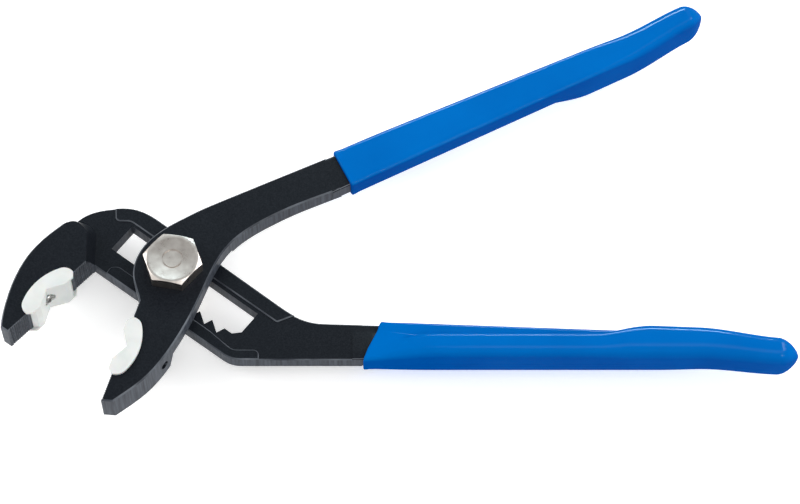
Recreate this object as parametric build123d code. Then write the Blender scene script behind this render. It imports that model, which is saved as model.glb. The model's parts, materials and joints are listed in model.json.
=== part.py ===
from build123d import *
import math
import os

# Adjustable lap-joint pliers with plastic jaw pads and dipped handles. Millimetres.
# The tool lies flat: Z is the bolt axis, X runs along the lower handle towards its end.
# The origin is on the bolt axis, at the end face of the bolt, on the surface under the tool.

# --- Levels along the bolt axis -------------------------------------------------------
PLAY = 0.05                # gap between faces that slide on each other
PLATE = 5.5                # thickness of each lever where the two are lapped
BOLT_STUB = 0.9            # bolt thread standing out of the nut
NUT_HEIGHT = 5.5
REAR = BOLT_STUB + NUT_HEIGHT + PLAY     # rear face of the slotted lever
MID = REAR + PLATE                       # front face of the slotted plate
LAP = MID + PLAY                         # rear face of the front plate
FRONT = LAP + PLATE                      # front face of both jaws and the front lever
CENTRE = (REAR + FRONT) / 2

# --- Bolt and nut ---------------------------------------------------------------------
HEX_FLATS = 16.4
HEAD_HEIGHT = 5.0
SHANK_R = 5.0
BORE_R = SHANK_R + PLAY
HEX_CHAMFER = 0.75
DISH_R = 7.4                # the head's dished face, and the ring pressed in it
DISH_DEPTH = 0.45
RING_R = 3.3
RING_WIDTH = 0.45
RING_DEPTH = 0.25
HEAD_TURN = -10.5          # degrees, one corner of the head from +X
NUT_TURN = -14.0

# --- Slot with its ratchet teeth, along its own axis through the bolt ------------------
SLOT_ANGLE = -37.5
SLOT_HALF = 5.1
SLOT_START = -21.6
SLOT_END = 29.4
TOOTH_PITCH = 4.9
TOOTH_DEPTH = 2.65
TOOTH_STEEP = 1.06         # run of the steep flank
VALLEYS = 7
DRAFT_DEPTH = 3.8          # drafted part of the slot's plain sides, at the rear face
DRAFT_WIDTH = 2.2
LAST_TIP = 24.3            # tooth tip nearest the handle
RAIL_RISE = 0.45           # how far the two sliding rails stand above the plate
RAIL_BREAK = 0.35

# --- Ratchet catch behind the front lever, in the slot's axes with the handles open ----
CATCH_R = 10.23
CATCH_TIP_ANGLE = -22.0
CATCH_TOP_ANGLE = 6.0
CATCH_BACK = ((7.6, 20), (5.6, 40), (3.0, 10), (5.3, -38), (6.61, -25.9))

# --- Jaws: throat point, direction of the gripping line, centre of the pad along it ----
THROAT_A = (-25.5, 3.2)
JAW_A_ANGLE = 226.5
PAD_A_AT = 18.0
JAW_A_LENGTH = 36.0
THROAT_B = (-10.2, -12.1)
JAW_B_ANGLE = 253.2
PAD_B_AT = 16.4
JAW_B_LENGTH = 35.6
STEP_B_ANGLE = -146.0      # direction from the bolt towards jaw B's step behind the lap
STEP_B_AT = 15.0
TEETH_A = ((0.6, 8.6), (27.6, 35.6))     # serrated stretches from the throat
TEETH_B = ((0.6, 7.0), (26.0, 35.2))
SERRATION_PITCH = 0.75
SERRATION_DEPTH = 0.38

# --- Pads ------------------------------------------------------------------------------
PAD_FIT = 0.05
PAD_HALF = 10.0            # half length of the side cheeks
PAD_BACK = 5.8             # reach of the cheeks behind the gripping line
PAD_BACK_R = 18.0
PAD_CORNER_R = 3.5
PAD_LIP = 1.3              # how far the cheeks overlap the jaw round its seat
PAD_CHEEK = 0.9
PAD_PROUD = 1.2            # pad standing proud of the gripping line
PAD_VALLEY = 1.8
PAD_VALLEY_HALF = 5.2
PAD_END_CUT = 1.4
RIB_COUNT = 8
SCREW_R = 1.45
SCREW_HOLE_R = 1.5
SCREW_HEAD_R = 2.0
SCREW_HEAD_HEIGHT = 1.3
SCREW_LENGTH = 9.0
SCREW_OUT = 0.8             # how far the head stands out of the V's bottom

# --- Handles, in their own axes: x along, y from the outer side inwards, z from the back
HANDLE_START = 56.0
HANDLE_END = 193.5
COAT = 0.9                 # thickness of the dipped plastic
FULL = FRONT - REAR        # full thickness of a forged handle
LOWER_SIDE = -29.7         # outer side of the slotted lever's handle
UPPER_ANGLE = 25.0
UPPER_SIDE = 15.0          # outer side of the front lever's handle
DIP_LOWER = ((64.5, 12.6), (59.0, -1.4))
DIP_UPPER = ((62.2, 12.9), (61.9, -1.4))
FLANGE_WIDTH = 5.3
BULGE = 0.35               # how far the handles' outer side stands out past the arms
FLARE = 2.2                # how much further out the handles' ends turn
DRAW_IN = 2.6              # how much narrower they get there on the inner side
RISE = (57, 82)            # where the flange rises from the web
BLOCK_START = 150          # from here on the handle has its full thickness all over
END_LENGTH = 6.5           # length of the rounded end
ARM_EXTRA = 1.0            # extra thickness behind the front lever's arm, fading out
ARM_FADE = (34, 58)        # where along the arm it fades
LEDGE_X = 17.9             # edge of the lap at the front lever's inner side
EDGE_BREAK = 0.45
REACH = 60                 # half size of cutting shapes, past every edge of the levers
STEP_SLOPE = 21.8          # degrees of draft on the jaws' steps behind the lap


def along(origin, angle, distance, offset=0.0):
    """Point at a distance along a direction, offset to its left."""
    turn = math.radians(angle)
    x = origin[0] + distance * math.cos(turn) - offset * math.sin(turn)
    y = origin[1] + distance * math.sin(turn) + offset * math.cos(turn)
    return (x, y)


def prism(sketch, low, high):
    """Straight extrusion of a plane shape between two levels."""
    return extrude(Pos(0, 0, low) * sketch, amount=high - low)


def heading(start, end):
    """Direction of the straight line between two points."""
    return (end[0] - start[0], end[1] - start[1])


def closed(*edges):
    return make_face(Wire(edges))


def blend(value, low, high):
    """Smooth rise from 0 to 1 between two values."""
    t = min(max((value - low) / (high - low), 0.0), 1.0)
    return t * t * (3 - 2 * t)


def mix(a, b, share):
    return a + (b - a) * share


def break_edges(solid, level, amount):
    """Bevel the outline edges that lie in one level face."""
    edges = [e for e in solid.edges() if abs(e.center().Z - level) < 0.01 and e.length > 1.2]
    return chamfer(edges, amount)


# --- Handles ---------------------------------------------------------------------------

def handle_width(x):
    """Steel width from the outer side, narrowing evenly and drawn in at the end."""
    even = 12.0 - 0.04 * (x - 62)
    return even - DRAW_IN * blend(x, 163, 190)


def handle_flare(x):
    """How far the outer side stands out, slightly all along and more at the end."""
    return BULGE * blend(x, 58, 80) + FLARE * blend(x, 162, 190)


def rounded_face(x, corners):
    """Closed face across the handle at x, from (y, z, radius) corners, each rounded."""
    ends = []
    count = len(corners)
    for index, (y, z, radius) in enumerate(corners):
        here = Vector(x, y, z)
        before = Vector(x, *corners[index - 1][:2]) - here
        after = Vector(x, *corners[(index + 1) % count][:2]) - here
        cut = min(radius, 0.45 * before.length, 0.45 * after.length)
        start = here + before.normalized() * cut
        end = here + after.normalized() * cut
        half_turn = before.get_angle(after) / 2
        bow = cut * (1 - math.sin(math.radians(half_turn))) / math.cos(math.radians(half_turn))
        middle = here + (before.normalized() + after.normalized()).normalized() * bow
        ends.append((start, middle, end))
    edges = []
    for index, (start, middle, end) in enumerate(ends):
        edges.append(ThreePointArc(start, middle, end))
        edges.append(Line(end, ends[(index + 1) % count][0]))
    return Face(Wire(edges))


def stepped_section(x, grow, thin):
    """Handle section with a thick flange outside and a thin web inside."""
    low = -grow - handle_flare(x)
    high = handle_width(x) + grow
    web = PLATE - thin * (1 - blend(x, HANDLE_START, 75)) + grow
    full = max(mix(PLATE, FULL, blend(x, *RISE)) + grow, web + 0.3)
    settled = blend(x, 58, 80)
    leaving = blend(x, 133, BLOCK_START)
    foot = mix(mix(high - 1.8, FLANGE_WIDTH + grow + 0.5, settled), high - 0.9, leaving)
    crest = mix(mix(low + 2.6, FLANGE_WIDTH + grow, settled), high - 1.6, leaving)
    corners = [
        (low, -grow, 1.2 + grow), (high, -grow, 0.7), (high, web, 0.7),
        (foot, web, 0.8), (crest, full, 1.0), (low, full, mix(0.6, 3.2, settled)),
    ]
    return rounded_face(x, corners)


def block_section(x, grow):
    """Handle section of full thickness, shrinking over the rounded end."""
    tip = HANDLE_END + grow
    shrink = 1.0
    if x > tip - END_LENGTH:
        shrink = (1 - ((x - tip + END_LENGTH) / END_LENGTH) ** 1.8) ** 0.7
    low = -grow - handle_flare(x)
    high = handle_width(x) + grow
    y, z = (low + high) / 2, FULL / 2
    half_y, half_z = (high - low) / 2 * shrink, (FULL / 2 + grow) * shrink
    soft = mix(1.0, 2.6, blend(x, BLOCK_START, 170)) * shrink
    corners = [
        (y - half_y, z - half_z, soft), (y + half_y, z - half_z, soft),
        (y + half_y, z + half_z, soft), (y - half_y, z + half_z, 3.2 * shrink),
    ]
    return rounded_face(x, corners)


def handle_block(grow, thin):
    """One handle: a thick rounded flange outside and a thin web inside, joined at the end.

    The web starts thinner than the plate by an amount that fades out along the handle.
    """
    tip = HANDLE_END + grow
    stepped = [HANDLE_START, 59, 62, 65, 68, 71, 74, 77, 80, 82, 133, 137, 141, 145, BLOCK_START]
    block = [BLOCK_START, 156, 163, 168, 173, 178, 183, tip - END_LENGTH]
    block += [tip - 5.2, tip - 3.9, tip - 2.7, tip - 1.6, tip - 0.8, tip - 0.25]
    body = loft([stepped_section(x, grow, thin) for x in stepped], ruled=True)
    return body + loft([block_section(x, grow) for x in block], ruled=True)


def coat(thin, dip):
    """Dipped plastic sleeve: the grown handle beyond the slanted dip line, less the steel."""
    (inner_x, inner_y), (outer_x, outer_y) = dip
    past = HANDLE_END + 10
    low, high = outer_y - 6, inner_y + 6
    slant = (inner_x - outer_x) / (inner_y - outer_y)
    start_low, start_high = outer_x - 6 * slant, inner_x + 6 * slant
    reach = Polyline([(start_high, high), (past, high), (past, low), (start_low, low)], close=True)
    kept = prism(make_face(reach), -5, FULL + 5)
    return (handle_block(COAT, thin) & kept) - handle_block(0, thin)


def lower_place():
    return Pos(0, LOWER_SIDE, REAR)


def upper_place():
    """The front lever's handle is the same forging turned half round about its length."""
    return Rot(0, 0, UPPER_ANGLE) * Pos(0, UPPER_SIDE, FRONT) * Rot(180, 0, 0)


# --- Pads and jaws ---------------------------------------------------------------------

def pad_place(throat, angle, distance, side):
    """Frame on the gripping line at the pad's centre, y into the jaw."""
    x, y = along(throat, angle, distance)
    turn = angle if side > 0 else angle + 180
    return Pos(x, y, 0) * Rot(0, 0, turn)


def pad_profile(shrink):
    """Pad outline: V-shaped gripping side and a curved back, drawn in by shrink behind."""
    half = PAD_HALF - shrink
    big = PAD_BACK_R - shrink
    small = PAD_CORNER_R - shrink
    centre_y = PAD_BACK - PAD_BACK_R
    centre_x = PAD_HALF - PAD_CORNER_R
    reach = PAD_BACK_R - PAD_CORNER_R
    corner_y = centre_y + math.sqrt(reach ** 2 - centre_x ** 2)
    touch_x = centre_x / reach * big
    touch_y = centre_y + (corner_y - centre_y) / reach * big
    slant = math.atan2(corner_y - centre_y, centre_x) / 2
    mid = (centre_x + small * math.cos(slant), corner_y + small * math.sin(slant))
    front = Polyline([
        (-half, corner_y), (-half, PAD_END_CUT - PAD_PROUD), (PAD_END_CUT - half, -PAD_PROUD),
        (-PAD_VALLEY_HALF, -PAD_PROUD), (0, PAD_VALLEY), (PAD_VALLEY_HALF, -PAD_PROUD),
        (half - PAD_END_CUT, -PAD_PROUD), (half, PAD_END_CUT - PAD_PROUD), (half, corner_y),
    ])
    right = ThreePointArc((half, corner_y), mid, (touch_x, touch_y))
    back = ThreePointArc((touch_x, touch_y), (0, centre_y + big), (-touch_x, touch_y))
    left = ThreePointArc((-touch_x, touch_y), (-mid[0], mid[1]), (-half, corner_y))
    return closed(*front.edges(), right, back, left)


def across(radius, start, length):
    """Round bar along local +Y, at mid thickness."""
    return Pos(0, start + length / 2, CENTRE) * Rot(90, 0, 0) * Cylinder(radius, length)


def jaw_pad():
    """Plastic pad: web in the jaw's seat, a thin cheek over each side, ribs behind."""
    web = prism(pad_profile(PAD_LIP + PAD_FIT), REAR - PAD_FIT, FRONT + PAD_FIT)
    cheek = pad_profile(0)
    low = prism(cheek, REAR - PAD_FIT - PAD_CHEEK, REAR - PAD_FIT)
    high = prism(cheek, FRONT + PAD_FIT, FRONT + PAD_FIT + PAD_CHEEK)
    pad = web + low + high
    seat_y = PAD_BACK - PAD_BACK_R
    for index in range(RIB_COUNT):
        tilt = (index - (RIB_COUNT - 1) / 2) * 6.2
        if abs(tilt) < 4:
            continue
        groove = Box(1.0, 0.9, FULL - 1.2)
        pad -= Pos(0, seat_y, CENTRE) * Rot(0, 0, -tilt) * Pos(0, PAD_BACK_R - PAD_LIP, 0) * groove
    pad -= across(SCREW_HOLE_R + 0.25, 0, PAD_BACK)
    sunk = PAD_VALLEY - SCREW_OUT + SCREW_HEAD_HEIGHT
    pad -= across(SCREW_HEAD_R + 0.2, -2, sunk + 2)
    return pad


def pad_screw():
    """Small round-head screw with a cross recess, driven into the jaw from the V."""
    head_y = PAD_VALLEY - SCREW_OUT - PAD_FIT
    head = across(SCREW_HEAD_R, head_y, SCREW_HEAD_HEIGHT)
    rim = head.edges().filter_by(GeomType.CIRCLE).sort_by(Axis.Y)[0]
    head = fillet(rim, 0.5)
    shank = across(SCREW_R, head_y + SCREW_HEAD_HEIGHT, SCREW_LENGTH)
    screw = head + shank
    for size in ((2.4, 0.45), (0.45, 2.4)):
        screw -= Pos(0, head_y, CENTRE) * Box(size[0], 1.4, size[1])
    return screw


def pad_seat():
    """Space cut in a jaw for a pad's web and its screw hole."""
    seat = prism(pad_profile(PAD_LIP), REAR - 2, FRONT + 2)
    mouth = Pos(0, -PAD_PROUD, CENTRE) * Box(2 * (PAD_HALF - PAD_LIP), 2 * PAD_VALLEY + 3, FULL + 4)
    return seat + mouth + across(SCREW_HOLE_R, 0, 30)


def serrations(throat, angle, ranges):
    """Fine grooves through the jaw's thickness along the gripping line."""
    cuts = []
    for low, high in ranges:
        count = int((high - low) / SERRATION_PITCH)
        for index in range(count):
            x, y = along(throat, angle, low + (index + 0.5) * SERRATION_PITCH)
            square = Rot(0, 0, 45) * Rectangle(SERRATION_DEPTH * 1.5, SERRATION_DEPTH * 1.5)
            groove = prism(square, REAR - 1, FRONT + 1)
            cuts.append(Pos(x, y, 0) * Rot(0, 0, angle) * groove)
    return cuts


# --- Slotted lever ---------------------------------------------------------------------

def slotted_outline(right):
    """Outline of jaw A, the slotted plate and the arm, ending at a line x = right."""
    tip_in = along(THROAT_A, JAW_A_ANGLE, JAW_A_LENGTH)
    tip_out = (-52.7, -21.2)
    back_end = (-5.6, 18.9)
    bend_start = (33.0, -11.2)
    bend_end = (47.0, -17.2)
    inner = (right, LOWER_SIDE + handle_width(right))
    heel_start = (21.5, LOWER_SIDE)
    heel_end = (15.7, -27.7)
    back = Spline(
        [tip_out, (-51.9, -13.6), (-45.3, 4.5), (-38.2, 12.5), (-34.4, 15.9), (-30.0, 20.3),
         (-26.3, 22.2), (-20.4, 23.35), back_end],
        tangents=[(0.0, 1), heading(back_end, bend_start)],
    )
    upper = Line(back_end, bend_start)
    bend = Spline(
        [bend_start, (39.4, -15.4), bend_end],
        tangents=[heading(back_end, bend_start), heading(bend_end, inner)],
    )
    arm = Polyline([bend_end, inner, (right, LOWER_SIDE), heel_start])
    heel = Spline([heel_start, heel_end], tangents=[(-1, 0), heading(heel_end, THROAT_A)])
    under = Polyline([heel_end, THROAT_A, tip_in, tip_out])
    return closed(back, upper, bend, *arm.edges(), heel, *under.edges())


def step_a_limit(inset, level):
    """Extent of jaw A's full thickness at one level; its round corner keeps its shape."""
    edge = -25.3 - inset
    top = 17.9 - inset
    start, end = (edge, 11.4), (edge - 8.0, top - 0.9)
    through = [(edge - 0.9, top - 2.4), (edge - 3.5, top - 0.1)]
    corner = Spline([start, *through, end], tangents=[(0, 1), (-1, -0.45)])
    past = (-REACH, end[1] - 0.45 * (end[0] + REACH))
    rest = Polyline([end, past, (-REACH, -REACH), (edge, -REACH), start])
    return Pos(0, 0, level) * closed(corner, *rest.edges())


def jaw_a_block():
    """Full-thickness part of jaw A, with its sloping step down to the slotted plate."""
    inset = PLATE * math.tan(math.radians(STEP_SLOPE))
    sloped = loft([step_a_limit(0, MID - RAIL_RISE), step_a_limit(inset, FRONT + 0.01)], ruled=True)
    block = prism(slotted_outline(HANDLE_START + 6), REAR + 1, FRONT)
    block = break_edges(block, FRONT, EDGE_BREAK)
    return block & sloped


def slot_shape():
    """Slot with a straight upper edge, and ratchet teeth along its lower edge."""
    points = [(SLOT_START, SLOT_HALF), (SLOT_END, SLOT_HALF), (SLOT_END, -2.9)]
    points += [(SLOT_END - 2.2, -SLOT_HALF), (LAST_TIP, -SLOT_HALF)]
    for index in range(VALLEYS):
        tip = LAST_TIP - index * TOOTH_PITCH
        points.append((tip - TOOTH_STEEP, -SLOT_HALF - TOOTH_DEPTH))
        points.append((tip - TOOTH_PITCH, -SLOT_HALF))
    points.append((SLOT_START, -SLOT_HALF))
    return Rot(0, 0, SLOT_ANGLE) * make_face(Polyline(points, close=True))


def slot_draft():
    """Draft at the rear of the slot's plain end and upper side; the toothed side has none."""
    wide, depth = DRAFT_WIDTH, DRAFT_DEPTH
    low = -SLOT_HALF + wide
    corners = [(SLOT_START - wide, SLOT_HALF + wide), (SLOT_END, SLOT_HALF + wide)]
    corners += [(SLOT_END, low), (SLOT_START - wide, low)]
    mouth = Rot(0, 0, SLOT_ANGLE) * make_face(Polyline(corners, close=True))
    angle = math.degrees(math.atan(wide / depth))
    return extrude(Pos(0, 0, REAR) * mouth, amount=depth, taper=angle)


def rail(outline, inner, outer):
    """Raised sliding rail from an inner line of (point, corner radius) to the plate's edge."""
    region = make_face(Polyline([point for point, radius in inner] + outer, close=True))
    for point, radius in inner[1:-1]:
        corner = [v for v in region.vertices() if v.distance_to(Vertex(*point)) < 0.01]
        region = fillet(corner, radius)
    bar = prism(outline & region, REAR + 1, MID)
    return break_edges(bar, MID, RAIL_BREAK)


def rails(outline):
    """The front lever slides on two rails, one along each edge of the plate."""
    end = along((0, 0), SLOT_ANGLE, 36.0, 6.4)
    upper = [((-20.4, 40), 0), ((-19.4, 18.8), 1.6), ((-14.6, 18.8), 3.0), (end, 1.0), ((44, -12), 0)]
    low_start = along((0, 0), SLOT_ANGLE, -15.5, -8.6)
    low_end = along((0, 0), SLOT_ANGLE, 21.5, -8.6)
    lower = [((-23, -2), 0), ((-20.2, 2.6), 1.6), (low_start, 3.0), (low_end, 5.0)]
    lower += [((18.8, -26.3), 4.0), ((27.1, -26.3), 1.8), ((27.1, -REACH), 0)]
    return rail(outline, upper, [(44, 40)]) + rail(outline, lower, [(-23, -REACH)])


def slotted_lever():
    outline = slotted_outline(HANDLE_START + 3)
    low = MID - RAIL_RISE
    plate = prism(outline, REAR, low)
    plate = break_edges(plate, REAR, EDGE_BREAK)
    plate = break_edges(plate, low, RAIL_BREAK)
    lever = plate + rails(outline) + jaw_a_block()
    lever -= prism(slot_shape(), REAR - 1, MID + 1)
    lever -= slot_draft()
    for cut in serrations(THROAT_A, JAW_A_ANGLE, TEETH_A):
        lever -= cut
    lever -= pad_place(THROAT_A, JAW_A_ANGLE, PAD_A_AT, -1) * pad_seat()
    return lever + lower_place() * handle_block(0, RAIL_RISE)


# --- Front lever -----------------------------------------------------------------------

def front_outline(reach):
    """Outline of the boss, the arm and jaw B; reach is where the arm ends, along it."""
    tip_in = along(THROAT_B, JAW_B_ANGLE, JAW_B_LENGTH)
    tip_out = (-16.8, -46.5)
    high = along((0, 0), UPPER_ANGLE, reach, UPPER_SIDE)
    low = along((0, 0), UPPER_ANGLE, reach, UPPER_SIDE - handle_width(reach))
    boss_end = (20.0, 25.8)
    inside_start = (42.3, 23.4)
    boss = Spline(
        [THROAT_B, (-12.5, -3.4), (-8.4, 8.6), (3.4, 17.4), boss_end],
        tangents=[(-0.22, 1), heading(boss_end, high)],
    )
    arm = Polyline([boss_end, high, low, inside_start])
    inside = Spline(
        [inside_start, (28.0, 16.2), (17.2, 7.4), (8.9, -10.0), (1.3, -26.5), (-6.2, -37.5), tip_out],
        tangents=[heading(low, inside_start), (-0.8, -0.6)],
    )
    jaw = Polyline([tip_out, tip_in, THROAT_B])
    return closed(boss, *arm.edges(), inside, *jaw.edges())


def lap_space():
    """Space behind the front lever for the slotted plate, up to jaw B's sloping step."""
    near = along((0, 0), STEP_B_ANGLE, STEP_B_AT, -REACH)
    far = along((0, 0), STEP_B_ANGLE, STEP_B_AT, REACH)
    jaw_side = [near, far, along(far, STEP_B_ANGLE, 2 * REACH), along(near, STEP_B_ANGLE, 2 * REACH)]
    jaw_side = make_face(Polyline(jaw_side, close=True))
    step = extrude(Pos(0, 0, LAP) * jaw_side, amount=-PLATE - 2, taper=STEP_SLOPE)
    ledge = [(LEDGE_X, -REACH), (LEDGE_X, 9.6), (8.0, 24.5), (4, REACH), (-REACH, REACH), (-REACH, -REACH)]
    space = prism(make_face(Polyline(ledge, close=True)), REAR - 1, LAP)
    space += prism(Rectangle(4 * REACH, 4 * REACH), REAR - 1, LAP - ARM_EXTRA)
    return space - step


def arm_taper():
    """Wedge behind the arm that brings its extra thickness down to nothing at the handle."""
    start, end = ARM_FADE
    slope = ARM_EXTRA / (end - start)
    side = Polyline([
        (0, -10, LAP - end * slope), (end, -10, LAP), (2 * end, -10, LAP),
        (2 * end, -10, REAR - 3), (0, -10, REAR - 3),
    ], close=True)
    return Rot(0, 0, UPPER_ANGLE) * extrude(make_face(side), amount=REACH, dir=(0, 1, 0))


def catch():
    """Ratchet catch behind the boss: one tooth that swings into a valley of the slot."""
    def polar(radius, angle):
        return along((0, 0), SLOT_ANGLE + angle, radius)

    tip = polar(CATCH_R, CATCH_TIP_ANGLE)
    top = polar(CATCH_R, CATCH_TOP_ANGLE)
    middle = polar(CATCH_R, (CATCH_TIP_ANGLE + CATCH_TOP_ANGLE) / 2)
    back = [polar(radius, angle) for radius, angle in CATCH_BACK]
    outline = closed(ThreePointArc(tip, middle, top), *Polyline([top, *back, tip]).edges())
    return prism(outline, REAR + 0.4, LAP + 0.5)


def front_lever():
    lever = prism(front_outline(HANDLE_START + 3), REAR, FRONT)
    lever = break_edges(lever, FRONT, EDGE_BREAK)
    lever = break_edges(lever, REAR, EDGE_BREAK)
    lever = lever - lap_space() - arm_taper() + catch()
    lever -= Pos(0, 0, CENTRE) * Cylinder(BORE_R, 40)
    for cut in serrations(THROAT_B, JAW_B_ANGLE, TEETH_B):
        lever -= cut
    lever -= pad_place(THROAT_B, JAW_B_ANGLE, PAD_B_AT, 1) * pad_seat()
    return lever + upper_place() * handle_block(0, 0)


# --- Bolt and nut ----------------------------------------------------------------------

def hexagon(height, turn, low, chamfer_low, chamfer_high):
    """Hexagon with its corners turned off at the chosen ends."""
    corner = HEX_FLATS / math.sqrt(3)
    body = prism(Rot(0, 0, turn) * RegularPolygon(corner, 6), low, low + height)
    drop = HEX_CHAMFER
    slope = drop / (corner - HEX_FLATS / 2 + 0.1)
    rise = (corner + 1 - HEX_FLATS / 2 + 0.1) * slope
    low_r = HEX_FLATS / 2 - 0.1
    points = [(0, low), (low_r if chamfer_low else corner + 1, low)]
    points.append((corner + 1, low + (rise if chamfer_low else 0.01)))
    points.append((corner + 1, low + height - (rise if chamfer_high else 0.01)))
    points += [(low_r if chamfer_high else corner + 1, low + height), (0, low + height)]
    turned = make_face(Polyline([(r, 0, z) for r, z in points], close=True))
    return body & revolve(turned, Axis.Z)


def pivot_bolt():
    """Hexagon-head bolt; the head's face is a shallow dish with a ring pressed in it."""
    under = FRONT + PLAY
    top = under + HEAD_HEIGHT
    head = hexagon(HEAD_HEIGHT, HEAD_TURN, under, False, True)
    bowl_r = (DISH_R ** 2 + DISH_DEPTH ** 2) / (2 * DISH_DEPTH)
    head -= Pos(0, 0, top + bowl_r - DISH_DEPTH) * Sphere(bowl_r)
    ring_low = top - DISH_DEPTH - RING_DEPTH
    ring = Cylinder(RING_R, 1.0) - Cylinder(RING_R - RING_WIDTH, 1.0)
    head -= Pos(0, 0, ring_low + 0.5) * ring
    shank = Pos(0, 0, under / 2) * Cylinder(SHANK_R, under)
    shank = chamfer(shank.edges().filter_by(GeomType.CIRCLE).sort_by(Axis.Z)[0], 0.8)
    return head + shank


def pivot_nut():
    nut = hexagon(NUT_HEIGHT, NUT_TURN, BOLT_STUB, True, False)
    return nut - Pos(0, 0, BOLT_STUB + NUT_HEIGHT / 2) * Cylinder(BORE_R, NUT_HEIGHT + 2)


def build():
    at_a = pad_place(THROAT_A, JAW_A_ANGLE, PAD_A_AT, -1)
    at_b = pad_place(THROAT_B, JAW_B_ANGLE, PAD_B_AT, 1)
    return {
        "slotted_lever": slotted_lever(),
        "front_lever": front_lever(),
        "pivot_bolt": pivot_bolt(),
        "pivot_nut": pivot_nut(),
        "slotted_jaw_pad": at_a * jaw_pad(),
        "front_jaw_pad": at_b * jaw_pad(),
        "slotted_pad_screw": at_a * pad_screw(),
        "front_pad_screw": at_b * pad_screw(),
        "slotted_grip": lower_place() * coat(RAIL_RISE, DIP_LOWER),
        "front_grip": upper_place() * coat(0, DIP_UPPER),
    }


os.makedirs("parts", exist_ok=True)
for node, solid in build().items():
    export_step(solid, f"parts/{node}.step")
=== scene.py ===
import json
import math

import bmesh
import bpy
from mathutils import Matrix, Vector


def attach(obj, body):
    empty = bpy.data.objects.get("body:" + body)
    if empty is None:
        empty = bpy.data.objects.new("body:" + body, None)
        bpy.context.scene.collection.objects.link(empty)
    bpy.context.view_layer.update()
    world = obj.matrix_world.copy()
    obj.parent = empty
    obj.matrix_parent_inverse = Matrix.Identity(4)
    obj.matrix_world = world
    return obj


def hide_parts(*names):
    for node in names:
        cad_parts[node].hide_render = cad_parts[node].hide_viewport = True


# Looks for the adjustable pliers. Metres, in the frame of the CAD model: the pivot bolt's
# axis is the Z axis, its end face lies on the floor, and the lower handle runs along +X.

MM = 0.001

# --- Handles and their sleeves ---------------------------------------------------------
# Millimetres, in each handle's own axes: x along it, y from its outer side inwards and z
# from its back. The handle's main sizes are the CAD model's; the sleeve's tip is 0.3 shorter.
HANDLE_START = 56.0
HANDLE_TIP = 194.1
FULL = 11.05               # thickness of the flange along the outer side
PLATE = 5.5                # thickness of the web along the inner side
RAIL_RISE = 0.45           # how much thinner the lower handle's web starts
FLANGE_WIDTH = 5.3
STEEL_WIDTH = 12.0         # whole width at WIDTH_AT
WIDTH_AT = 62
NARROWING = 0.04           # loss of width per millimetre
DRAW_IN = 2.6              # further loss of width towards the tip, on the inner side
BULGE = 0.35               # how far the outer side stands out past the arm
FLARE = 2.2                # how much further out it turns towards the tip
END_LENGTH = 6.5           # length of the rounded end
END_POWERS = (1.8, 0.7)    # that end shrinks as (1 - t ** first) ** second

# Stretches of x over which the section changes.
RISE = (57, 82)            # the flange rises from the web
RAIL_FADE = (HANDLE_START, 75)    # the lower handle's web gets its full thickness
SETTLE = (58, 80)          # the step between flange and web takes its place
WEB_END = (131, 149)       # the web grows into the flange
ROUNDING = (150, 175)      # the lower edges get rounder
DRAW_SPAN = (163, 190)
FLARE_SPAN = (162, 190)

# The step between flange and web.
FOOT_INSET = 1.8           # its foot starts this far in from the inner side
CREST_INSET = 2.6          # and its crest this far in from the outer side
FOOT_PAST = 0.6            # then the foot lies this far past the flange's width
CREST_SHORT = 0.1          # and the crest this far short of it
FOOT_SPLIT = 0.4           # beyond the web, the foot stays this far above the web's corner
LEAST_SIDE = 0.01          # least distance between two corners

# The dipped sleeve.
COAT = 0.9                 # its thickness
LIP_LENGTH = 0.55          # length of its rounded lip
LIP_TURNS = range(0, 91, 15)    # degrees round that lip, a ring of points at each
LIP_START = 0.15           # thickness where the lip meets the steel
LIP_SWELL = 0.12           # extra thickness where the lip ends
LIP_FADE = ((1.2, LIP_SWELL), (2.2, 0.04))    # distances behind the dip line, extra thickness
EVEN_FROM = 3.5            # the thickness is even from this far behind the dip line
DIP_OUTER = -1.4           # y of the dip line's outer end
DIP_WIDTH = 14.0           # y distance to its inner end
SLANT_LENGTH = 35          # the sections lean with the dip line less and less over this
LOWER_DIP, LOWER_SLANT = 59.0, 5.5    # x of the dip line's outer end; how far on its inner end is
UPPER_DIP, UPPER_SLANT = 61.9, 0.3
RING_STEP = 1.5
END_GAP = 1                # least distance from the last even ring to the round end
END_RINGS = 16
ARC_STEPS = 7              # straight pieces round each corner of a section
SIDE_SHARE = 0.48          # most of a side's length that a corner's rounding takes
WELD = 2e-6                # metres; points nearer than this, at the round tip, become one

# Where the handles lie in the CAD model's frame.
REAR = 6.45                # height of both handles' lower face
FRONT = REAR + FULL
LOWER_SIDE = -29.7         # outer side of the lower handle
UPPER_ANGLE = math.radians(25.0)
UPPER_SIDE = 15.0          # outer side of the upper handle, before it is turned
GLOSS_FROM, GLOSS_TO = 47.0, 70.0    # x + y between which the lower sleeve turns glossy

# --- Stage, in metres ------------------------------------------------------------------
FLOOR_HALF = 3.0
FLOOR_GAP = 0.0002         # the floor lies this far below the tool
LIGHT_AIM = (0.07, 0.02, 0.0)    # every lamp points here
SKY_LEAN = math.radians(42)    # the sky's rings lie round a line leaning back this far
CAMERA_TILT = math.radians(27.5)
CAMERA_DISTANCE = 0.9206
CAMERA_TARGET = (0.0708, 0.01055, REAR * MM)
CAMERA_LENS = 130.5        # millimetres, on a sensor 36 wide


def smooth(value, low, high):
    """Smooth rise from 0 to 1 between two values."""
    t = min(max((value - low) / (high - low), 0.0), 1.0)
    return t * t * (3 - 2 * t)


def mix(a, b, share):
    return a + (b - a) * share


def grey(level):
    return (level, level, level)


# --- Node helpers ----------------------------------------------------------------------

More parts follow.
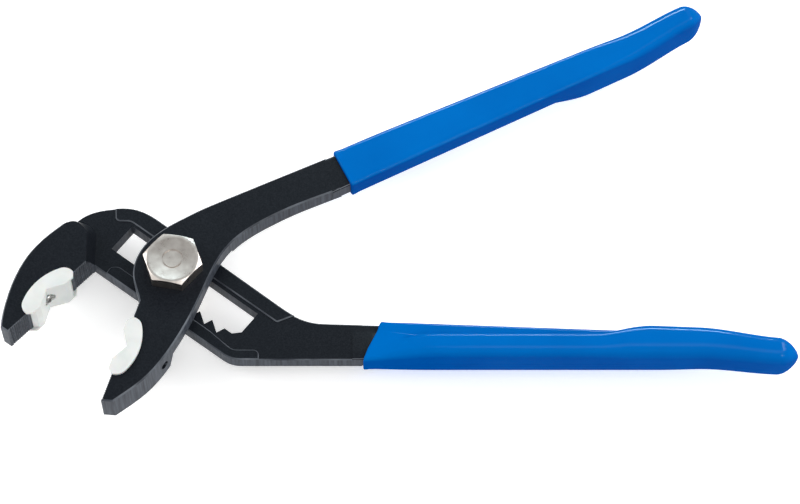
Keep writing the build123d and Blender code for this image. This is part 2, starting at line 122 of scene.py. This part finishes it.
def set_stops(ramp, stops):
    """Give a colour ramp node its (position, colour) stops."""
    elements = ramp.color_ramp.elements
    while len(elements) < len(stops):
        elements.new(0.5)
    for element, (position, color) in zip(elements, stops):
        element.position = position
        element.color = (*color, 1.0)


class Shader:
    """A material with a Principled shader and short calls for its nodes."""

    def __init__(self, name, **sockets):
        self.material = bpy.data.materials.new(name)
        self.material.use_nodes = True
        self.tree = self.material.node_tree
        self.surface = self.tree.nodes["Principled BSDF"]
        for socket, value in sockets.items():
            self.surface.inputs[socket.replace("_", " ")].default_value = value
        coordinates = self.tree.nodes.new("ShaderNodeTexCoord")
        self.place = coordinates.outputs["Object"]
        self.normal = coordinates.outputs["Normal"]

    def node(self, kind, **inputs):
        """New node with its named inputs linked or set."""
        made = self.tree.nodes.new(kind)
        for name, value in inputs.items():
            socket = made.inputs[name.replace("_", " ")]
            if isinstance(value, bpy.types.NodeSocket):
                self.tree.links.new(value, socket)
            else:
                socket.default_value = value
        return made

    def noise(self, scale, detail=3.0, roughness=0.5, place=None):
        made = self.node("ShaderNodeTexNoise", Scale=scale, Detail=detail, Roughness=roughness)
        self.tree.links.new(place or self.place, made.inputs["Vector"])
        return made.outputs["Fac"]

    def ramp(self, value, *stops):
        made = self.node("ShaderNodeValToRGB", Fac=value)
        set_stops(made, stops)
        return made.outputs["Color"]

    def span(self, value, low, high):
        """The value's 0 to 1 stretched to low to high."""
        made = self.node("ShaderNodeMapRange", Value=value, To_Min=low, To_Max=high)
        return made.outputs["Result"]

    def compute(self, operation, *values):
        made = self.tree.nodes.new("ShaderNodeMath")
        made.operation = operation
        for value, socket in zip(values, made.inputs):
            self.tree.links.new(value, socket)
        return made.outputs[0]

    def tilt(self, *stops):
        """Grey level from how level a surface lies: 0 is an upright side and 1 a level face."""
        split = self.node("ShaderNodeSeparateXYZ", Vector=self.normal)
        levelness = self.compute("ABSOLUTE", split.outputs["Z"])
        return self.ramp(levelness, *((position, grey(level)) for position, level in stops))

    def blend(self, share, first, second):
        """The first colour where the share is 0, and the second where it is 1."""
        made = self.tree.nodes.new("ShaderNodeMix")
        made.data_type = "RGBA"
        color_a, color_b = (socket for socket in made.inputs if socket.type == "RGBA")
        result = next(socket for socket in made.outputs if socket.type == "RGBA")
        self.tree.links.new(share, made.inputs[0])
        self.tree.links.new(first, color_a)
        self.tree.links.new(second, color_b)
        return result

    def link(self, output, socket):
        self.tree.links.new(output, self.surface.inputs[socket])

    def bump(self, height, strength, distance):
        made = self.node("ShaderNodeBump", Height=height, Strength=strength, Distance=distance)
        self.link(made.outputs["Normal"], "Normal")


def black_steel():
    """Blackened forged steel: near black, with upright sides painted paler as a painted reflection
    of the floor and bevels painted paler still as a painted highlight.
    """
    shader = Shader("black_steel", Specular_IOR_Level=0.07)
    cloud = shader.noise(scale=90.0, detail=4.0)
    speck = shader.noise(scale=2200.0, detail=2.0, roughness=0.7)
    face = shader.ramp(speck, (0.35, (0.004, 0.0055, 0.0085)), (0.7, (0.011, 0.0135, 0.018)))
    stretched = shader.node("ShaderNodeMapping", Vector=shader.place, Scale=(1.0, 1.0, 0.05))
    streaks = shader.noise(scale=1300.0, detail=2.0, place=stretched.outputs["Vector"])
    # Paler streaked colour for upright sides: a painted reflection of the pale floor.
    painted_side_light = shader.ramp(streaks, (0.3, (0.03, 0.035, 0.045)), (0.7, (0.068, 0.078, 0.096)))
    # Paler mottled colour for bevels: a painted highlight along the edges.
    painted_bevel_highlight = shader.ramp(cloud, (0.35, (0.035, 0.04, 0.05)), (0.65, (0.13, 0.145, 0.165)))
    # Mask of upright sides that get the painted reflection.
    painted_side_mask = shader.tilt((0.1, 1.0), (0.25, 0.0))
    # Mask of bevels that get the painted highlight.
    bevel_highlight_mask = shader.tilt((0.5, 0.0), (0.62, 1.0), (0.8, 1.0), (0.92, 0.0))
    color = shader.blend(bevel_highlight_mask, shader.blend(painted_side_mask, face, painted_side_light), painted_bevel_highlight)
    shader.link(color, "Base Color")
    shader.link(shader.span(cloud, 0.34, 0.44), "Roughness")
    shader.bump(speck, strength=0.12, distance=0.0002)
    return shader.material


def nickel():
    """Satin nickel plate: warm grey, with a faint mottle and a fine grain."""
    shader = Shader("nickel_plate", Metallic=1.0)
    cloud = shader.noise(scale=420.0)
    grain = shader.noise(scale=2600.0, detail=2.0, roughness=0.6)
    color = shader.ramp(cloud, (0.3, (0.46, 0.42, 0.385)), (0.7, (0.58, 0.535, 0.495)))
    shader.link(color, "Base Color")
    shader.link(shader.span(cloud, 0.24, 0.34), "Roughness")
    shader.bump(grain, strength=0.12, distance=0.0001)
    return shader.material


def screw_steel():
    """Bright zinc of the small screws, darkened in patches."""
    shader = Shader("screw_steel", Metallic=1.0)
    cloud = shader.noise(scale=900.0)
    color = shader.ramp(cloud, (0.35, grey(0.1)), (0.6, (0.4, 0.4, 0.38)))
    shader.link(color, "Base Color")
    shader.link(shader.span(cloud, 0.25, 0.4), "Roughness")
    return shader.material


def gloss(shader):
    """Weight of the clear gloss: most where an edge starts to round, none at the lower dip line."""
    edges = shader.tilt((0.9, 0.03), (0.945, 0.3), (0.975, 0.3), (0.995, 0.04))
    along = shader.tree.nodes.new("ShaderNodeVectorMath")
    along.operation = "DOT_PRODUCT"
    shader.tree.links.new(shader.place, along.inputs[0])
    along.inputs[1].default_value = (1.0, 1.0, 0.0)
    past_start = shader.node("ShaderNodeMapRange", Value=along.outputs["Value"])
    past_start.inputs["From Min"].default_value = GLOSS_FROM * MM
    past_start.inputs["From Max"].default_value = GLOSS_TO * MM
    return shader.compute("MULTIPLY", edges, past_start.outputs["Result"])


def blue_vinyl():
    """Dipped vinyl: even blue, with painted shade making upright sides a deeper blue, and a clear
    gloss on rounded edges.
    """
    shader = Shader("blue_vinyl", Specular_IOR_Level=0.0, Coat_Roughness=0.08)
    cloud = shader.noise(scale=45.0)
    peel = shader.noise(scale=300.0, detail=2.0)
    level = shader.ramp(cloud, (0.3, (0.0, 0.113, 0.42)), (0.7, (0.0, 0.128, 0.46)))
    # Deeper blue for upright sides: painted shade.
    painted_shade_upright = shader.ramp(cloud, (0.3, (0.0, 0.06, 0.29)), (0.7, (0.0, 0.075, 0.33)))
    # Mask of upright sides that get the painted shade.
    painted_side_mask = shader.tilt((0.15, 1.0), (0.75, 0.0))
    shader.link(shader.blend(painted_side_mask, level, painted_shade_upright), "Base Color")
    shader.link(shader.span(peel, 0.3, 0.4), "Roughness")
    shader.link(gloss(shader), "Coat Weight")
    shader.bump(peel, strength=0.015, distance=0.0002)
    return shader.material


def white_nylon():
    """Moulded natural nylon: milky white, slightly see-through, with a fine matte grain."""
    shader = Shader(
        "white_nylon", Subsurface_Weight=0.2, Subsurface_Scale=0.001, Specular_IOR_Level=0.4,
    )
    cloud = shader.noise(scale=160.0)
    grain = shader.noise(scale=1800.0, detail=2.0)
    color = shader.ramp(cloud, (0.3, (0.6, 0.625, 0.61)), (0.7, (0.68, 0.7, 0.685)))
    shader.link(color, "Base Color")
    shader.link(shader.span(cloud, 0.36, 0.5), "Roughness")
    shader.bump(grain, strength=0.1, distance=0.0002)
    return shader.material


def floor_paper():
    """White paper with a faint mottle, glowing a little so that it stays white."""
    shader = Shader(
        "floor_paper", Roughness=0.9, Emission_Color=(*grey(1.0), 1.0), Emission_Strength=0.4,
    )
    color = shader.ramp(shader.noise(scale=6.0), (0.3, grey(0.9)), (0.7, grey(0.93)))
    shader.link(color, "Base Color")
    return shader.material


def dress(thing, material):
    """Give an object one material in place of its own."""
    thing.data.materials.clear()
    thing.data.materials.append(material)


# --- Grips -----------------------------------------------------------------------------

def handle_width(x):
    """Steel width from the outer side, narrowing evenly and drawn in at the end."""
    even = STEEL_WIDTH - NARROWING * (x - WIDTH_AT)
    return even - DRAW_IN * smooth(x, *DRAW_SPAN)


def handle_flare(x):
    """How far the outer side stands out, slightly all along and more at the end."""
    return BULGE * smooth(x, *SETTLE) + FLARE * smooth(x, *FLARE_SPAN)


def rounded(corners):
    """Points round a closed polygon of (y, z, radius) corners, each rounded by a curve."""
    points = []
    count = len(corners)
    for index, (y, z, radius) in enumerate(corners):
        here = Vector((y, z))
        before = Vector(corners[index - 1][:2]) - here
        after = Vector(corners[(index + 1) % count][:2]) - here
        cut = min(radius, SIDE_SHARE * before.length, SIDE_SHARE * after.length)
        start = here + before.normalized() * cut
        end = here + after.normalized() * cut
        weight = math.sin(before.angle(after, 0) / 2)
        for step in range(ARC_STEPS + 1):
            t = step / ARC_STEPS
            a, b, c = (1 - t) ** 2, 2 * t * (1 - t) * weight, t * t
            points.append(tuple((start * a + here * b + end * c) / (a + b + c)))
    return points


def grip_section(x, grow, thin):
    """Closed section of the sleeve at x: a thick flange outside and a thin web inside."""
    low = -grow - handle_flare(x)
    high = handle_width(x) + grow
    web = PLATE - thin * (1 - smooth(x, *RAIL_FADE)) + grow
    full = max(mix(PLATE, FULL, smooth(x, *RISE)) + grow, web + LEAST_SIDE)
    settled = smooth(x, *SETTLE)
    leaving = smooth(x, *WEB_END)
    ending = smooth(x, *ROUNDING)
    foot = mix(high - FOOT_INSET, FLANGE_WIDTH + grow + FOOT_PAST, settled)
    foot = mix(foot, high - LEAST_SIDE, leaving)
    crest = mix(low + CREST_INSET, FLANGE_WIDTH + grow - CREST_SHORT, settled)
    crest = mix(crest, high - 2 * LEAST_SIDE, leaving)
    corners = [
        (low, -grow, mix(1.5, 3.0, ending)),
        (high, -grow, mix(1.1, 2.8, ending)),
        (high, mix(web, full / 2, leaving), mix(1.1, 0.4, leaving)),
        (foot, mix(web, full / 2 + FOOT_SPLIT, leaving), mix(1.0, 0.2, leaving)),
        (crest, full, mix(mix(3.0, 1.3, settled), 2.8, leaving)),
        (low, full, mix(1.2, 4.6, settled)),
    ]
    middle_y = (low + high) / 2
    middle_z = FULL / 2
    shrink = end_shrink(x)
    return [
        (middle_y + (y - middle_y) * shrink, middle_z + (z - middle_z) * shrink)
        for y, z in rounded(corners)
    ]


def end_shrink(x):
    """Size of the section at x as a share of its full size, down to 0 at the round tip."""
    past = (x - HANDLE_TIP + END_LENGTH) / END_LENGTH
    if past <= 0:
        return 1.0
    first, second = END_POWERS
    return (1 - min(past, 1.0) ** first) ** second


def ring_places(dip):
    """Each ring's x and the sleeve's thickness there: the lip, the long stretch, the end."""
    rings = []
    for turn in LIP_TURNS:
        angle = math.radians(turn)
        thickness = mix(LIP_START, COAT + LIP_SWELL, math.sin(angle))
        rings.append((dip + LIP_LENGTH * (1 - math.cos(angle)), thickness))
    rings += [(dip + distance, COAT + extra) for distance, extra in LIP_FADE]
    x = dip + EVEN_FROM
    while x < HANDLE_TIP - END_LENGTH - END_GAP:
        rings.append((x, COAT))
        x += RING_STEP
    for step in range(END_RINGS + 1):
        past = math.sin(math.pi / 2 * step / END_RINGS)
        rings.append((HANDLE_TIP - END_LENGTH * (1 - past), COAT))
    return rings


def leaning_section(x, grow, thin, dip, slant):
    """Points of the section at x, moved along the handle as the slanted dip line is."""
    share = max(0.0, 1.0 - (x - dip) / SLANT_LENGTH)
    points = []
    for index, (y, _) in enumerate(grip_section(x, grow, thin)):
        moved_x = x + slant * (y - DIP_OUTER) / DIP_WIDTH * share
        points.append((moved_x, *grip_section(moved_x, grow, thin)[index]))
    return points


def grip_mesh(name, dip, slant, thin):
    """Dipped sleeve in the handle's own axes, from its slanted dip line to its round end."""
    mesh = bmesh.new()
    loops = []
    for x, grow in ring_places(dip):
        points = leaning_section(x, grow, thin, dip, slant)
        loops.append([mesh.verts.new((x * MM, y * MM, z * MM)) for x, y, z in points])
    for near, far in zip(loops, loops[1:]):
        for index in range(len(near)):
            other = (index + 1) % len(near)
            mesh.faces.new((near[index], near[other], far[other], far[index]))
    mesh.faces.new(list(reversed(loops[0])))
    bmesh.ops.remove_doubles(mesh, verts=mesh.verts, dist=WELD)
    bmesh.ops.recalc_face_normals(mesh, faces=mesh.faces)
    data = bpy.data.meshes.new(name)
    mesh.to_mesh(data)
    mesh.free()
    for face in data.polygons:
        face.use_smooth = True
    thing = bpy.data.objects.new(name, data)
    bpy.context.scene.collection.objects.link(thing)
    return thing


def add_grips(material):
    """Both sleeves, each riding on its lever's body in place of the CAD node."""
    lower = grip_mesh("lower_sleeve", LOWER_DIP, LOWER_SLANT, RAIL_RISE)
    lower.data.transform(Matrix.Translation((0, LOWER_SIDE * MM, REAR * MM)))
    upper = grip_mesh("upper_sleeve", UPPER_DIP, UPPER_SLANT, 0.0)
    turn = Matrix.Rotation(UPPER_ANGLE, 4, "Z")
    shift = Matrix.Translation((0, UPPER_SIDE * MM, FRONT * MM))
    upper.data.transform(turn @ shift @ Matrix.Rotation(math.pi, 4, "X"))
    for thing, body, node in ((lower, "slotted", "slotted_grip"), (upper, "front", "front_grip")):
        dress(thing, material)
        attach(thing, body)
        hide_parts(node)


# --- Stage -----------------------------------------------------------------------------

def add_stage():
    half = FLOOR_HALF
    corners = [(-half, -half, 0), (half, -half, 0), (half, half, 0), (-half, half, 0)]
    data = bpy.data.meshes.new("floor")
    data.from_pydata(corners, [], [(0, 1, 2, 3)])
    floor = bpy.data.objects.new("floor", data)
    floor.location.z = -FLOOR_GAP
    bpy.context.scene.collection.objects.link(floor)
    dress(floor, floor_paper())


def add_light(name, place, size, power, diffuse=True, tint=(1.0, 1.0, 1.0)):
    """Rectangular lamp aimed at the tool; one that isn't diffuse gives highlights only."""
    light = bpy.data.lights.new(name, "AREA")
    light.shape = "RECTANGLE"
    light.size, light.size_y = size
    light.energy = power
    light.color = tint
    lamp = bpy.data.objects.new(name, light)
    lamp.location = place
    aim = Vector(LIGHT_AIM) - Vector(place)
    lamp.rotation_euler = aim.to_track_quat("-Z", "Y").to_euler()
    lamp.visible_diffuse = diffuse
    bpy.context.scene.collection.objects.link(lamp)


def add_lights():
    pale_blue = (0.7, 0.92, 1.0)
    add_light("key_right", (0.72, -0.62, 0.72), (0.34, 0.34), 12.0, diffuse=False)
    add_light("strip_back", (0.12, 1.0, 0.6), (0.55, 0.3), 15.0, diffuse=False, tint=pale_blue)
    add_light("soft_left", (-0.85, 0.35, 0.6), (0.6, 0.6), 5.0)
    add_light("soft_right", (0.95, 0.45, 0.65), (0.6, 0.6), 6.0)


def add_sky():
    """Soft white surroundings, in rings round a line that leans back behind the tool.

    From the line outwards they are bright, dark, brightest, and dim towards the front.
    """
    world = bpy.data.worlds.new("studio")
    world.use_nodes = True
    tree = world.node_tree
    place = tree.nodes.new("ShaderNodeTexCoord")
    # The mapping turns directions from -1 to 1 into 0 to 1 along the leaning line.
    turn = tree.nodes.new("ShaderNodeMapping")
    turn.inputs["Location"].default_value = (0.0, 0.0, 0.5)
    turn.inputs["Rotation"].default_value = (SKY_LEAN, 0.0, 0.0)
    turn.inputs["Scale"].default_value = (0.5, 0.5, 0.5)
    split = tree.nodes.new("ShaderNodeSeparateXYZ")
    ramp = tree.nodes.new("ShaderNodeValToRGB")
    tree.links.new(place.outputs["Generated"], turn.inputs["Vector"])
    tree.links.new(turn.outputs["Vector"], split.inputs[0])
    tree.links.new(split.outputs["Z"], ramp.inputs["Fac"])
    tree.links.new(ramp.outputs["Color"], tree.nodes["Background"].inputs["Color"])
    rings = ((0.15, 0.4), (0.5, 0.95), (0.78, 1.35), (0.92, 0.35), (0.975, 0.5), (1.0, 1.1))
    set_stops(ramp, [(height, grey(level)) for height, level in rings])
    bpy.context.scene.world = world


def add_camera():
    """Camera leaning to the front from straight above the tool, with a long lens."""
    data = bpy.data.cameras.new("camera")
    data.lens = CAMERA_LENS
    data.sensor_width = 36.0
    data.clip_start = 0.05
    camera = bpy.data.objects.new("camera", data)
    camera.rotation_euler = (CAMERA_TILT, 0, 0)
    back = Vector((0, -math.sin(CAMERA_TILT), math.cos(CAMERA_TILT)))
    camera.location = Vector(CAMERA_TARGET) + CAMERA_DISTANCE * back
    bpy.context.scene.collection.objects.link(camera)
    bpy.context.scene.camera = camera


def dress_nodes(frame, materials):
    """Give each CAD node that stays as it is the material of its slot; screws have their own."""
    slots = {entry["node"]: entry["material_slot"] for entry in frame["record"]["subparts"]}
    for name, node in frame["nodes"].items():
        if name.endswith("_grip"):
            continue
        finish = "screw" if name.endswith("_screw") else slots[name]
        dress(node, materials[finish])


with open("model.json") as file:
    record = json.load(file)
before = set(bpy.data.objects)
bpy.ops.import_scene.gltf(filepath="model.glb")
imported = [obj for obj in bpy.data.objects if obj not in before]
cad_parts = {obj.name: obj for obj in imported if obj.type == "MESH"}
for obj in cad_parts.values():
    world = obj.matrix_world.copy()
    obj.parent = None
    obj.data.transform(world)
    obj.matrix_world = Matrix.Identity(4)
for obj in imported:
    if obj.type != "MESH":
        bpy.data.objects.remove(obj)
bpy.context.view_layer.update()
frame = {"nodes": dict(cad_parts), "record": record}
bpy.context.scene.view_settings.view_transform = "Standard"
finishes = {
    "black_steel": black_steel(),
    "nickel_steel": nickel(),
    "blue_grip": blue_vinyl(),
    "white_pad": white_nylon(),
    "screw": screw_steel(),
}
dress_nodes(frame, finishes)
add_grips(finishes["blue_grip"])
add_stage()
add_lights()
add_sky()
add_camera()
